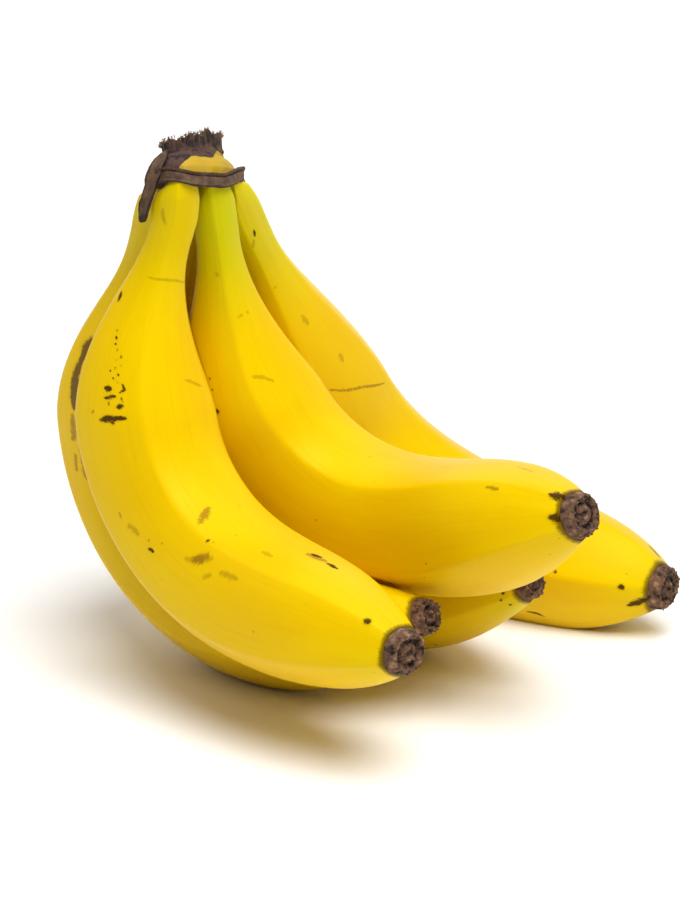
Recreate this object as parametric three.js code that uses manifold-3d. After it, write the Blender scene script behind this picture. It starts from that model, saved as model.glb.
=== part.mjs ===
import * as THREE from 'three';
import { mergeVertices } from 'three/addons/utils/BufferGeometryUtils.js';
import Module from 'manifold-3d';

// A hand of five bananas on one crown, resting on the bellies of three of them.
// Millimetres, +Z up, with the origin on the surface under the middle of the bunch.

// Bananas: where the neck starts inside the crown, then how the fruit runs from there.
// heading: way the tip points, seen from above, from +X. lean: sideways tilt about that heading.
// pitch: backward tilt of the neck. bend: turn from neck to tip, made between bendStart and bendEnd.
// sway: sideways turn by the tip. gather: how far the neck end is drawn in to the crown's middle.
// taper: higher is blunter. ridgeTurn and ridgeTwist: where the five ridges run. Angles in degrees.
const bananas = [
  {
    name: 'front',
    root: [-48.6, -14.1, 148],
    heading: -43, lean: 0, pitch: 20.5, bend: 112.5, sway: 5, gather: 6,
    length: 192, bendStart: 0.12, bendEnd: 0.855,
    girth: 37.4, taper: 4, shoulder: 0.4, ridgeTurn: -7, ridgeTwist: 15,
  },
  {
    name: 'middle',
    root: [-43.4, -1.1, 144],
    heading: -36, lean: 17, pitch: 5.8, bend: 116.5, sway: 4.5, gather: 0,
    length: 196, bendStart: 0.17, bendEnd: 0.82,
    girth: 37.3, taper: 4, shoulder: 0.4, ridgeTurn: 2, ridgeTwist: 40,
  },
  {
    name: 'back',
    root: [-37.3, 9.9, 137.9],
    heading: -25, lean: 36.2, pitch: 0, bend: 93, sway: 9.3, gather: 2,
    length: 214, bendStart: 0.28, bendEnd: 0.93,
    girth: 39.5, taper: 4, shoulder: 0.42, ridgeTurn: -15, ridgeTwist: 15,
  },
  {
    name: 'under_front',
    root: [-54.5, 2.5, 139.4],
    heading: -54.7, lean: -1.4, pitch: 27.3, bend: 137, sway: -20, gather: 0,
    length: 213, bendStart: 0.163, bendEnd: 0.92,
    girth: 36.2, taper: 3.4, shoulder: 0.37, ridgeTurn: 0, ridgeTwist: 15,
  },
  {
    name: 'under_middle',
    root: [-43.8, 16.2, 136.2],
    heading: -47.3, lean: 12.4, pitch: 28.2, bend: 135.5, sway: -12.3, gather: 3,
    length: 217, bendStart: 0.127, bendEnd: 0.936,
    girth: 36, taper: 3.3, shoulder: 0.5, ridgeTurn: 0, ridgeTwist: 15,
  },
];
const neckRatio = 0.31; // neck thickness over girth
const tipRatio = 0.345; // blossom scar over girth
const neckEnd = 0.107; // fraction of the length where the neck starts to swell
const taperStart = 0.563; // fraction of the length where the tip starts to taper
const gatherEnd = 0.3; // fraction of the length over which a neck is drawn in
const shoulderRound = 4; // depth below the crown over which a neck's end is rounded
const shoulderInset = 0.3; // how far it is drawn in there, over the neck
const ridgeCount = 5;
const ridgeHeight = 0.04; // over the fruit's radius
const pressGap = 0.5; // room left between two fruit that press together
const jointGap = 0.3; // room left between pieces that meet face to face

// Blossom ends: short corky plugs
const blossomLength = 3;
const blossomDish = 0.9;
const blossomFlutes = 7;
const fluteHeight = 0.05; // over the plug's radius
const blossomOutline = [
  [0, 0],
  [0.96, 0],
  [1.02, 0.35],
  [0.94, 0.75],
  [0.72, 1],
]; // radius over the peel's end, then height over the length

// Crown: an oval cushion with a smaller cut stub on it, leaning away from straight up
const crownCentre = new THREE.Vector3(-48.4, 5.1, 137.2);
const crownHalfLength = 16;
const crownHalfWidth = 11;
const crownRow = 63; // way the row of necks runs, seen from above
const crownLean = 22;
const crownLeanToward = 108.5;
const cushionHeight = 4;
const cushionDome = 4.4;
const stubRatio = 0.63; // stub over cushion
const stubHeight = 12.8; // mean height of the cut above the necks
const cutSlope = 2.1; // rise of the cut towards the right, each way
const cutRag = 0.7; // height of the torn fibres round the cut
const cutDish = 0.5; // how far the cut is sunk in the middle

// Bract strip: a dried band round the front of the cushion, with a loose end
const bandThickness = 1.3;
const bandHeight = 3.6;
const bandStart = 166; // degrees round the cushion
const bandSweep = 236;
const bandWave = 0.35; // height of the waves in its upper edge
const bandWaves = 9;
const bandRim = 0.25; // how far both edges roll out
const lipAt = 303; // degrees round, where a pointed lip stands out
const lipSpread = 9;
const lipReach = 1.1;
const tailWidth = 4;
const tailTaper = 0.5; // width and thickness of its end over its start
const tailRoute = [
  [170, 0.67, 9.8],
  [168, 0.79, 8.6],
  [163, 0.94, 6.4],
  [158, 1.05, 2.5],
  [153, 1.07, -3],
  [148, 1.06, -8.5],
]; // degrees round the crown's axis, distance from it over the cushion's, height

// Fineness of the solids
const axisSteps = 200;
const pressRounds = 16;
const bananaRings = 30;
const bananaSides = 20;
const ringCrowding = 0.5; // how much closer the rings stand at both ends
const crownSides = 40;
const bandSteps = 44;
const tailSteps = 12;

const { degToRad, smoothstep, lerp } = THREE.MathUtils;
const up = new THREE.Vector3(0, 0, 1);

const wasm = await Module();
wasm.setup();

function solidOf(geometry) {
  const bare = geometry.clone();
  bare.deleteAttribute('normal');
  bare.deleteAttribute('uv');
  const merged = mergeVertices(bare, 1e-4);
  const corners = [];
  const index = merged.index.array;
  for (let i = 0; i < index.length; i += 3) {
    const [a, b, c] = index.slice(i, i + 3);
    if (a !== b && b !== c && c !== a) corners.push(a, b, c);
  }
  return new wasm.Manifold(new wasm.Mesh({
    numProp: 3,
    vertProperties: new Float32Array(merged.attributes.position.array),
    triVerts: new Uint32Array(corners),
  }));
}

function geometryOf(solid) {
  const mesh = solid.getMesh();
  const geometry = new THREE.BufferGeometry();
  geometry.setAttribute('position', new THREE.BufferAttribute(mesh.vertProperties, 3));
  geometry.setIndex(new THREE.BufferAttribute(mesh.triVerts, 1));
  geometry.computeVertexNormals();
  return geometry;
}

// Moves every vertex of a geometry to place(vertex)
function reshape(geometry, place) {
  const position = geometry.attributes.position;
  const vertex = new THREE.Vector3();
  for (let i = 0; i < position.count; i += 1) {
    vertex.fromBufferAttribute(position, i);
    const moved = place(vertex);
    position.setXYZ(i, moved.x, moved.y, moved.z);
  }
  return geometry;
}

// Radius along a banana: slim neck, full body, blunt tip
function radiusAt(banana, t) {
  const swell = smoothstep(t, neckEnd, banana.shoulder);
  const past = Math.max(0, (t - taperStart) / (1 - taperStart));
  const body = lerp(neckRatio, 1, swell);
  return banana.girth / 2 * body * (1 - (1 - tipRatio) * past ** banana.taper);
}

// The line that a banana follows, with the directions of its inner side and its flank
function axisOf(banana) {
  const ahead = new THREE.Vector3(1, 0, 0).applyAxisAngle(up, degToRad(banana.heading));
  const pitch = degToRad(banana.pitch);
  const lean = degToRad(banana.lean);
  const start = up.clone().multiplyScalar(-Math.cos(pitch)).addScaledVector(ahead, -Math.sin(pitch));
  const inward = ahead.clone().multiplyScalar(Math.cos(pitch)).addScaledVector(up, -Math.sin(pitch));
  start.applyAxisAngle(ahead, lean);
  inward.applyAxisAngle(ahead, lean);
  const across = start.clone().cross(inward);
  const toCrown = crownCentre.clone().sub(new THREE.Vector3(...banana.root)).normalize();
  const point = new THREE.Vector3(...banana.root);
  const axis = [];
  for (let i = 0; i <= axisSteps; i += 1) {
    const t = i / axisSteps;
    const turn = degToRad(banana.bend) * smoothstep(t, banana.bendStart, banana.bendEnd);
    const sway = degToRad(banana.sway) * t;
    const tangent = start.clone().multiplyScalar(Math.cos(turn)).addScaledVector(inward, Math.sin(turn));
    tangent.multiplyScalar(Math.cos(sway)).addScaledVector(across, Math.sin(sway));
    const inner = inward.clone().multiplyScalar(Math.cos(turn)).addScaledVector(start, -Math.sin(turn));
    const drawn = banana.gather * (1 - smoothstep(t, 0, gatherEnd));
    axis.push({
      point: point.clone().addScaledVector(toCrown, drawn),
      tangent,
      inner,
      flank: tangent.clone().cross(inner),
      radius: radiusAt(banana, t),
    });
    point.addScaledVector(tangent, banana.length / axisSteps);
  }
  return axis;
}

function axisAt(axis, t) {
  const place = t * axisSteps;
  const step = Math.min(Math.floor(place), axisSteps - 1);
  const share = place - step;
  const mixed = (key) => axis[step][key].clone().lerp(axis[step + 1][key], share);
  return { point: mixed('point'), tangent: mixed('tangent'), inner: mixed('inner'), flank: mixed('flank') };
}

// How near a point is to another banana, as a share of that banana's radius there
function nearness(point, axis) {
  let least = Infinity;
  for (const station of axis) {
    least = Math.min(least, (station.point.distanceTo(point) - pressGap / 2) / station.radius);
  }
  return least;
}

// The reach of the skin from the axis, drawn back where another banana presses on it
function pressedReach(centre, direction, reach, radius, others) {
  const surface = new THREE.Vector3();
  const clear = (length) => {
    surface.copy(centre).addScaledVector(direction, length);
    const own = (length + pressGap / 2) / radius;
    return others.every((axis) => nearness(surface, axis) >= own);
  };
  if (clear(reach)) return reach;
  let low = 0;
  let high = reach;
  for (let i = 0; i < pressRounds; i += 1) {
    const middle = (low + high) / 2;
    if (clear(middle)) low = middle;
    else high = middle;
  }
  return low;
}

// A straight lathe-turned fruit, denser at both ends, then ridged, pressed and bent along its axis
function bananaGeometry(banana, axis, others) {
  const profile = [new THREE.Vector2(0, 0)];
  for (let i = 0; i <= bananaRings; i += 1) {
    const u = i / bananaRings;
    const t = u - ringCrowding * Math.sin(2 * Math.PI * u) / (2 * Math.PI);
    profile.push(new THREE.Vector2(radiusAt(banana, t), t));
  }
  profile.push(new THREE.Vector2(0, 1));
  const lathe = new THREE.LatheGeometry(profile, bananaSides);
  return reshape(lathe, (vertex) => {
    const t = vertex.y;
    const radius = Math.hypot(vertex.x, vertex.z);
    const station = axisAt(axis, t);
    if (radius < 1e-6) return station.point;
    const around = Math.atan2(-vertex.x, vertex.z);
    const ridgeAt = degToRad(banana.ridgeTurn + banana.ridgeTwist * (t - 0.5));
    const outward = station.inner.clone().multiplyScalar(-Math.cos(around));
    outward.addScaledVector(station.flank, Math.sin(around));
    const reach = radius * (1 + ridgeHeight * Math.cos(ridgeCount * (around - ridgeAt)));
    const held = pressedReach(station.point, outward, reach, radius, others);
    const skin = station.point.clone().addScaledVector(outward, held);
    const below = Math.max(0, -underside.distanceToPoint(skin));
    const inset = shoulderInset * Math.max(0, 1 - below / shoulderRound) ** 2;
    return skin.addScaledVector(outward, -held * inset);
  });
}

function blossomGeometry(banana) {
  const radius = radiusAt(banana, 1);
  const profile = blossomOutline.map(([share, rise]) => (
    new THREE.Vector2(radius * share, lerp(jointGap, blossomLength, rise))
  ));
  profile.push(new THREE.Vector2(0, blossomLength - blossomDish));
  const lathe = new THREE.LatheGeometry(profile, blossomFlutes * 3);
  return reshape(lathe, (vertex) => {
    const around = Math.atan2(vertex.x, vertex.z);
    const flute = 1 + fluteHeight * Math.cos(blossomFlutes * around);
    return new THREE.Vector3(vertex.z * flute, vertex.x * flute, vertex.y);
  });
}

// In the crown's own frame: x along the row of necks, z up out of the cut
function crownGeometry() {
  const domeTop = cushionHeight + cushionDome;
  const profile = [
    [0, 0],
    [0.94, 0],
    [1, 0.7],
    [1, cushionHeight],
    [0.96, lerp(cushionHeight, domeTop, 0.35)],
    [0.86, lerp(cushionHeight, domeTop, 0.7)],
    [stubRatio + 0.06, domeTop],
    [stubRatio, domeTop + 1],
    [stubRatio, lerp(domeTop, stubHeight, 0.55)],
    [stubRatio, stubHeight],
    [stubRatio * 0.6, stubHeight - cutDish],
    [0, stubHeight - cutDish],
  ].map(([r, z]) => new THREE.Vector2(r, z));
  const lathe = new THREE.LatheGeometry(profile, crownSides);
  const cutFrom = lerp(domeTop, stubHeight, 0.6);
  const right = new THREE.Vector2(1, 0).rotateAround(new THREE.Vector2(), degToRad(-crownRow));
  return reshape(lathe, (vertex) => {
    const around = Math.atan2(vertex.x, vertex.z);
    const share = Math.max(0, (vertex.y - cutFrom) / (stubHeight - cutFrom));
    const fromAxis = Math.min(1, Math.hypot(vertex.x, vertex.z) / stubRatio);
    const rag = cutRag * fromAxis * (Math.sin(5 * around + 1) + 0.6 * Math.sin(11 * around));
    const rise = cutSlope * (vertex.z * right.x + vertex.x * right.y) / stubRatio;
    const height = vertex.y + share * (rise + rag);
    return new THREE.Vector3(vertex.z * crownHalfLength, vertex.x * crownHalfWidth, height);
  });
}

// Point on the oval round the crown's axis, some way out from the cushion's side
function ovalPoint(around, share, out, height) {
  const x = Math.cos(around) * crownHalfLength * share;
  const y = Math.sin(around) * crownHalfWidth * share;
  const normal = new THREE.Vector2(x / crownHalfLength ** 2, y / crownHalfWidth ** 2).normalize();
  return new THREE.Vector3(x + normal.x * out, y + normal.y * out, height);
}

function bandGeometry() {
  const box = new THREE.BoxGeometry(1, 1, 1, bandSteps, 3, 1);
  return reshape(box, (vertex) => {
    const along = vertex.x + 0.5;
    const rise = vertex.z + 0.5;
    const depth = 0.5 - vertex.y;
    const around = degToRad(bandStart + bandSweep * along);
    const fromLip = (bandStart + bandSweep * along - lipAt) / lipSpread;
    const lip = lipReach * Math.exp(-fromLip * fromLip) * rise;
    const wave = bandWave * Math.sin(bandWaves * along * Math.PI) * rise;
    const rim = bandRim * Math.cos(rise * 2 * Math.PI);
    const out = jointGap + depth * (bandThickness + rim) + lip;
    return ovalPoint(around, 1, out, jointGap + rise * bandHeight + wave + lip / 2);
  });
}

function tailGeometry() {
  const box = new THREE.BoxGeometry(1, 1, 1, tailSteps, 2, 1);
  const route = new THREE.CatmullRomCurve3(tailRoute.map((stop) => new THREE.Vector3(...stop)));
  return reshape(box, (vertex) => {
    const along = vertex.x + 0.5;
    const place = route.getPoint(along);
    const narrowing = lerp(1, tailTaper, along);
    const sideways = vertex.y * tailWidth * narrowing / crownHalfWidth;
    const out = (vertex.z + 0.5) * bandThickness * narrowing;
    return ovalPoint(degToRad(place.x) + sideways, place.y, out, place.z);
  });
}

function named(name, geometry, finish) {
  const mesh = new THREE.Mesh(geometry, new THREE.MeshStandardMaterial({ metalness: 0, ...finish }));
  mesh.name = name;
  return mesh;
}

const peelFinish = { color: 0xf2cc0c, roughness: 0.45 };
const crownFinish = { color: 0x5e4636, roughness: 0.85 };
const bractFinish = { color: 0x6a4a35, roughness: 0.8 };
const blossomFinish = { color: 0x4a3a30, roughness: 0.9 };

const bunch = new THREE.Group();

const crown = new THREE.Group();
crown.position.copy(crownCentre);
const leanAxis = new THREE.Vector3(0, 1, 0).applyAxisAngle(up, degToRad(crownLeanToward));
crown.quaternion.setFromAxisAngle(leanAxis, degToRad(crownLean));
crown.rotateZ(degToRad(crownRow));
crown.updateMatrix();
crown.add(named('crown', crownGeometry(), crownFinish));
const strip = solidOf(bandGeometry()).add(solidOf(tailGeometry()));
crown.add(named('bract_strip', geometryOf(strip), bractFinish));
bunch.add(crown);

// What trims the fruit: the surface under the bunch, and the underside of the crown
const blockSize = 400;
const block = () => new THREE.BoxGeometry(blockSize, blockSize, blockSize);
const surfaceBlock = block().translate(0, 0, -blockSize / 2);
const crownBlock = block().translate(0, 0, blockSize / 2 - jointGap).applyMatrix4(crown.matrix);
const trims = [surfaceBlock, crownBlock].map(solidOf);
const underside = new THREE.Plane(up.clone(), 0).applyMatrix4(crown.matrix);

const axes = bananas.map(axisOf);
bananas.forEach((banana, i) => {
  const others = axes.filter((axis) => axis !== axes[i]);
  const whole = solidOf(bananaGeometry(banana, axes[i], others));
  const trimmed = trims.reduce((fruit, trim) => fruit.subtract(trim), whole);
  bunch.add(named(`banana_${banana.name}`, geometryOf(trimmed), peelFinish));

  const end = axisAt(axes[i], 1);
  const blossom = named(`blossom_end_${banana.name}`, blossomGeometry(banana), blossomFinish);
  blossom.position.copy(end.point);
  blossom.quaternion.setFromUnitVectors(up, end.tangent.normalize());
  bunch.add(blossom);
});

export default bunch;
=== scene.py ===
import math
import random

import bmesh
import bpy
import numpy as np
from mathutils import Matrix, Vector, noise


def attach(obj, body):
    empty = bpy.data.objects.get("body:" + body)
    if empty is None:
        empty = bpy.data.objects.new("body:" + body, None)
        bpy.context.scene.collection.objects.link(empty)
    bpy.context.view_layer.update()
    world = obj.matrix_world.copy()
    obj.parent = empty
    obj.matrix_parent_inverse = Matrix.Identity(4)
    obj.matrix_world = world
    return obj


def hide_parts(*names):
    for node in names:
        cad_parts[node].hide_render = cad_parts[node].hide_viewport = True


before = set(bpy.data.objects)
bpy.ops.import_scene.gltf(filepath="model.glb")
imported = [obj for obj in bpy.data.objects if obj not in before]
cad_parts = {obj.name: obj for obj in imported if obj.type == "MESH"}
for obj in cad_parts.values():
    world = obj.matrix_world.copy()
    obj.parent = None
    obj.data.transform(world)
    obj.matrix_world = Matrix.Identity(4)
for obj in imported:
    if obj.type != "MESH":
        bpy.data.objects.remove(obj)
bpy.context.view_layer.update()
mm = 0.001
degree = math.radians(1)
sharpAngle = 50  # degrees; flatter edges are shaded smooth
print("frame loaded:", len(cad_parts), "solids")


def isVector(value):
    if isinstance(value, Wire):
        return value.socket.type == "VECTOR"
    return isinstance(value, (tuple, Vector))


class Wire:  # one output socket; arithmetic on it adds Math or Vector Math nodes
    def __init__(self, board, socket):
        self.board = board
        self.socket = socket

    def other(self, name):
        return Wire(self.board, self.socket.node.outputs[name])

    def math(self, operation, *rest):
        return self.board.add("ShaderNodeMath", {"operation": operation}, [self, *rest])

    def pair(self, operation, first, second):
        inputs, kinds = [first, second], [isVector(first), isVector(second)]
        if not any(kinds):
            return self.board.add("ShaderNodeMath", {"operation": operation}, inputs)
        if operation == "MULTIPLY" and not all(kinds):
            vector, factor = (first, second) if kinds[0] else (second, first)
            operation, inputs = "SCALE", {0: vector, "Scale": factor}
        return self.board.add("ShaderNodeVectorMath", {"operation": operation}, inputs)

    def __add__(self, value):
        return self.pair("ADD", self, value)

    def __radd__(self, value):
        return self.pair("ADD", value, self)

    def __sub__(self, value):
        return self.pair("SUBTRACT", self, value)

    def __rsub__(self, value):
        return self.pair("SUBTRACT", value, self)

    def __mul__(self, value):
        return self.pair("MULTIPLY", self, value)

    def __rmul__(self, value):
        return self.pair("MULTIPLY", value, self)

    def __truediv__(self, value):
        return self.pair("DIVIDE", self, value)

    def __rtruediv__(self, value):
        return self.pair("DIVIDE", value, self)

    def __pow__(self, value):
        return self.pair("POWER", self, value)

    def cross(self, value):
        return self.pair("CROSS_PRODUCT", self, value)

    def part(self, axis):
        return self.board.add("ShaderNodeSeparateXYZ", {}, [self], axis)


class Board:  # a node tree, of a material or of geometry
    def __init__(self, tree):
        self.tree = tree

    def add(self, kind, settings=None, inputs=(), output=0):
        node = self.tree.nodes.new(kind)
        for name, value in (settings or {}).items():
            setattr(node, name, value)
        pairs = inputs.items() if isinstance(inputs, dict) else enumerate(inputs)
        for key, value in pairs:
            for item in value if isinstance(value, list) else [value]:
                if isinstance(item, Wire):
                    self.tree.links.new(item.socket, node.inputs[key])
                else:
                    node.inputs[key].default_value = item
        return Wire(self, node.outputs[output]) if node.outputs else None

    def ease(self, value, low, high):  # 0 below low, 1 above high, smooth between
        return self.add("ShaderNodeMapRange", {"interpolation_type": "SMOOTHSTEP"}, [value, low, high])

    def bell(self, value, at, spread):  # 1 in the middle, falling off to both sides
        return (((value - at) / spread) ** 2.0 * -1.0).math("EXPONENT")

    def vector(self, x, y, z):
        return self.add("ShaderNodeCombineXYZ", {}, [x, y, z])

    def length(self, vector):
        return self.add("ShaderNodeVectorMath", {"operation": "LENGTH"}, [vector], "Value")

    def noise(self, place, detail=2.0):
        return self.add("ShaderNodeTexNoise", {}, {"Vector": place, "Scale": 1.0, "Detail": detail})

    def mix(self, share, first, second):  # colours
        return self.add("ShaderNodeMix", {"data_type": "RGBA"}, {0: share, 6: first, 7: second}, 2)

    def tint(self, share, first, second):  # multiplies colours
        settings = {"data_type": "RGBA", "blend_type": "MULTIPLY"}
        return self.add("ShaderNodeMix", settings, {0: share, 6: first, 7: second}, 2)

    def field(self, name):
        return self.add("ShaderNodeAttribute", {"attribute_name": name}, (), "Fac")

    def place(self, name):
        return self.add("ShaderNodeAttribute", {"attribute_name": name}, (), "Vector")

    def move(self, shape, places):
        return self.add("GeometryNodeSetPosition", {}, {"Geometry": shape, **places})

    def keep(self, shape, name, value):  # stores a field on a mesh
        kind = "FLOAT_VECTOR" if isVector(value) else "FLOAT"
        return self.add("GeometryNodeStoreNamedAttribute", {"data_type": kind},
                        {"Geometry": shape, "Name": name, "Value": value})

    def kept(self, name, kind):
        return self.add("GeometryNodeInputNamedAttribute", {"data_type": kind}, {"Name": name})

    def chance(self, low, high, seed):  # a random number or vector for each instance
        vector = isinstance(low, tuple)
        kind, first, output = ("FLOAT_VECTOR", 0, 0) if vector else ("FLOAT", 2, 1)
        inputs = {first: low, first + 1: high, "Seed": seed}
        return self.add("FunctionNodeRandomValue", {"data_type": kind}, inputs, output)


def paint(red, green, blue):  # a screen colour, 0 to 255, as linear light
    def linear(value):
        share = value / 255
        return share / 12.92 if share < 0.04045 else ((share + 0.055) / 1.055) ** 2.4
    return (linear(red), linear(green), linear(blue), 1.0)


def addObject(name, data):
    thing = bpy.data.objects.new(name, data)
    bpy.context.scene.collection.objects.link(thing)
    return thing


def newMaterial(name):
    material = bpy.data.materials.new(name)
    material.use_nodes = True
    material.node_tree.nodes.clear()
    return material, Board(material.node_tree)


def coat(board, colour, roughness, height, depth, strength=1.0, shine=0.35, gloss=(1.0, 1.0, 1.0, 1.0)):
    raised = board.add("ShaderNodeBump", {}, {"Strength": strength, "Distance": depth, "Height": height})
    skin = board.add("ShaderNodeBsdfPrincipled", {}, {
        "Base Color": colour, "Roughness": roughness, "Normal": raised, "Specular IOR Level": shine,
        "Specular Tint": gloss})
    board.add("ShaderNodeOutputMaterial", {}, {"Surface": skin})


def geometryBoard(name, inputs):
    tree = bpy.data.node_groups.new(name, "GeometryNodeTree")
    tree.interface.new_socket("Geometry", in_out="OUTPUT", socket_type="NodeSocketGeometry")
    for label, kind in inputs.items():
        tree.interface.new_socket(label, in_out="INPUT", socket_type="NodeSocket" + kind)
    board = Board(tree)
    source = board.add("NodeGroupInput")
    return board, {label: source.other(label) for label in inputs}


def closeTree(board, shape, material):
    solid = board.add("GeometryNodeRealizeInstances", {}, {"Geometry": shape})
    dressed = board.add("GeometryNodeSetMaterial", {}, {"Geometry": solid, "Material": material})
    board.add("NodeGroupOutput", {}, {"Geometry": dressed})
    return board.tree


def grow(tree, values, base=None):  # runs a geometry tree and hands back a plain mesh
    carrier = addObject("carrier", base or bpy.data.meshes.new("seedling"))
    modifier = carrier.modifiers.new("grow", "NODES")
    modifier.node_group = tree
    for item in tree.interface.items_tree:
        if item.in_out == "INPUT" and item.name in values:
            modifier[item.identifier] = values[item.name]
    graph = bpy.context.evaluated_depsgraph_get()
    grownShape = carrier.evaluated_get(graph)
    mesh = bpy.data.meshes.new_from_object(grownShape, preserve_all_data_layers=True, depsgraph=graph)
    carrier.modifiers.remove(modifier)
    bpy.data.objects.remove(carrier)
    return mesh


def inUnits(own, units):  # the input "Bend Start" is bendStart in a piece's own dictionary
    return {label: own[label[0].lower() + label[1:].replace(" ", "")] * unit for label, unit in units.items()}


def corners(mesh):
    data = np.empty(len(mesh.vertices) * 3)
    mesh.vertices.foreach_get("co", data)
    return data.reshape(-1, 3)


def moveCorners(mesh, places):
    mesh.vertices.foreach_set("co", np.ascontiguousarray(places, np.float32).ravel())
    mesh.update()


def readField(mesh, name, width=1):
    data = np.empty(len(mesh.vertices) * width, np.float32)
    mesh.attributes[name].data.foreach_get("value" if width == 1 else "vector", data)
    return data.astype(float) if width == 1 else data.reshape(-1, width).astype(float)


def writeField(mesh, name, values):
    values = np.asarray(values, np.float32)
    kind, key = ("FLOAT", "value") if values.ndim == 1 else ("FLOAT_VECTOR", "vector")
    layer = mesh.attributes.get(name) or mesh.attributes.new(name, kind, "POINT")
    layer.data.foreach_set(key, values.ravel())


def dress(name, mesh, material, node):  # a finished piece, in place of its CAD node
    mesh.materials.clear()
    mesh.materials.append(material)
    mesh.polygons.foreach_set("use_smooth", [True] * len(mesh.polygons))
    mesh.set_sharp_from_angle(angle=math.radians(sharpAngle))
    mesh.name = name
    piece = addObject(name, mesh)
    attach(piece, "root")
    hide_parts(node)


def smooth(value, low, high):
    share = np.clip((value - low) / (high - low), 0, 1)
    return share * share * (3 - 2 * share)


def bump(value, at, spread):
    return np.exp(-((value - at) / spread) ** 2)


def shorterWay(degrees, start):
    return (degrees - start + 180) % 360 - 180


def cloud(places, size, seed):  # smooth noise, about -1 to 1, with lumps of that size
    scaled = (places / size + seed).reshape(-1, 3)
    return np.array([noise.noise(Vector(place)) for place in scaled]).reshape(places.shape[:-1])


# camera, floor and light
view = {
    "lookAt": (-6.2, 1.3, 65.5),  # millimetres
    "distance": 900,
    "elevation": 18,
    "lens": 132.5,
    "floorSize": 9.0,
    "floor": paint(251, 251, 251),
    "air": 0.8,  # pale walls behind and beside the bunch, a dark room on the camera's side
    "lamps": {
        "key": {"place": (0.18, -0.5, 1.18), "aim": (0, 0, 0.05), "size": 1.05, "power": 21, "spread": 180},
        "back": {"place": (0, 1.6, 1.3), "aim": (0, 1.5, 0), "size": 1.5, "power": 9, "spread": 60},
    },
}

elevation = math.radians(view["elevation"])
sight = bpy.data.cameras.new("camera")
sight.lens = view["lens"]
camera = addObject("camera", sight)
backward = Vector((0, -math.cos(elevation), math.sin(elevation)))
camera.location = (Vector(view["lookAt"]) + backward * view["distance"]) * mm
camera.rotation_euler = (math.pi / 2 - elevation, 0, 0)
bpy.context.scene.camera = camera
bpy.context.scene.view_settings.view_transform = "Standard"

world = bpy.data.worlds.new("studio")
world.use_nodes = True
world.node_tree.nodes.clear()
air = Board(world.node_tree)
behind = air.ease(air.add("ShaderNodeTexCoord", {}, (), "Generated").part(1), -0.35, 0.3)
wall = air.mix(behind, (0.05, 0.05, 0.05, 1), (1, 1, 1, 1))
glow = air.add("ShaderNodeBackground", {}, {"Color": wall, "Strength": view["air"]})
air.add("ShaderNodeOutputWorld", {}, {"Surface": glow})
bpy.context.scene.world = world

for label, own in view["lamps"].items():
    lamp = bpy.data.lights.new(label, "AREA")
    lamp.shape = "DISK"
    lamp.size = own["size"]
    lamp.energy = own["power"]
    lamp.spread = math.radians(own["spread"])
    holder = addObject(label, lamp)
    holder.location = own["place"]
    aim = Vector(own["aim"]) - holder.location
    holder.rotation_euler = aim.to_track_quat("-Z", "Y").to_euler()

floorMaterial, floorBoard = newMaterial("paleFloor")
floorGrain = floorBoard.noise(floorBoard.add("ShaderNodeTexCoord", {}, (), "Object") * 40.0, 3.0)
floorColour = floorBoard.mix(floorGrain * 0.06, view["floor"], paint(240, 240, 240))
coat(floorBoard, floorColour, 0.9, floorGrain, 0.0001, 0.1)
half = view["floorSize"] / 2
floorMesh = bpy.data.meshes.new("floor")
floorCorners = [(-half, -half, 0), (half, -half, 0), (half, half, 0), (-half, half, 0)]
floorMesh.from_pydata(floorCorners, [], [(0, 1, 2, 3)])
floorMesh.materials.append(floorMaterial)
addObject("floor", floorMesh)
print("camera, floor and light set")

# crown frame, shared by the necks, the crown and the bract strip
crown = {
    "centre": (-48.4, 5.1, 137.2),
    "halfLength": 16,
    "halfWidth": 11,
    "row": 63,  # way the row of necks runs, seen from above
    "lean": 22,
    "leanToward": 108.5,
    "cushionHeight": 4,
    "cushionDome": 4.4,
    "stubRatio": 0.6,
    "stubHeight": 12.8,
    "cutSlope": 0.7,
    "cutDish": 0.9,
    "stubShift": (0.64, -1.25),
    "tuftAt": 257, "tuftSpread": 10, "tuftHeight": 1.5,
    "stubReach": (10, 7),  # along the row and across it
    "grooveRing": (9, 7),
    "lobes": [  # degrees, reach, spread
        (214, 3.6, 23), (258, 0.9, 14), (38, 2.0, 16), (100, 0.6, 15), (142, -2.4, 22)],
    "skinTop": [(0, 4.6), (70, 5.4), (100, 3.0), (206, 3.0), (212, 5.0), (220, 6.4), (258, 6.9), (268, 8.6),
                (300, 9.0), (330, 8.0), (360, 4.6)],
    "sides": 260,
    "rows": 130,
    "fibreCount": 430,
    "fibreLength": 1.5,
    "fibreThickness": 0.14,
    "seed": 7,
    "bark": paint(78, 53, 45),
    "darkBark": paint(34, 23, 24),
    "straw": paint(128, 104, 70),
    "skin": paint(182, 149, 14),
}
leanAxis = Matrix.Rotation(math.radians(crown["leanToward"]), 3, "Z") @ Vector((0, 1, 0))
crownTurn = Matrix.Rotation(math.radians(crown["lean"]), 3, leanAxis)
crownTurn = crownTurn @ Matrix.Rotation(math.radians(crown["row"]), 3, "Z")
crownPlace = Vector(crown["centre"])
crownUp = np.array(crownTurn @ Vector((0, 0, 1)))


def onCrown(places):  # the crown's own millimetres to metres in the frame
    return (np.asarray(places) @ np.array(crownTurn).T + np.array(crownPlace)) * mm


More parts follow.
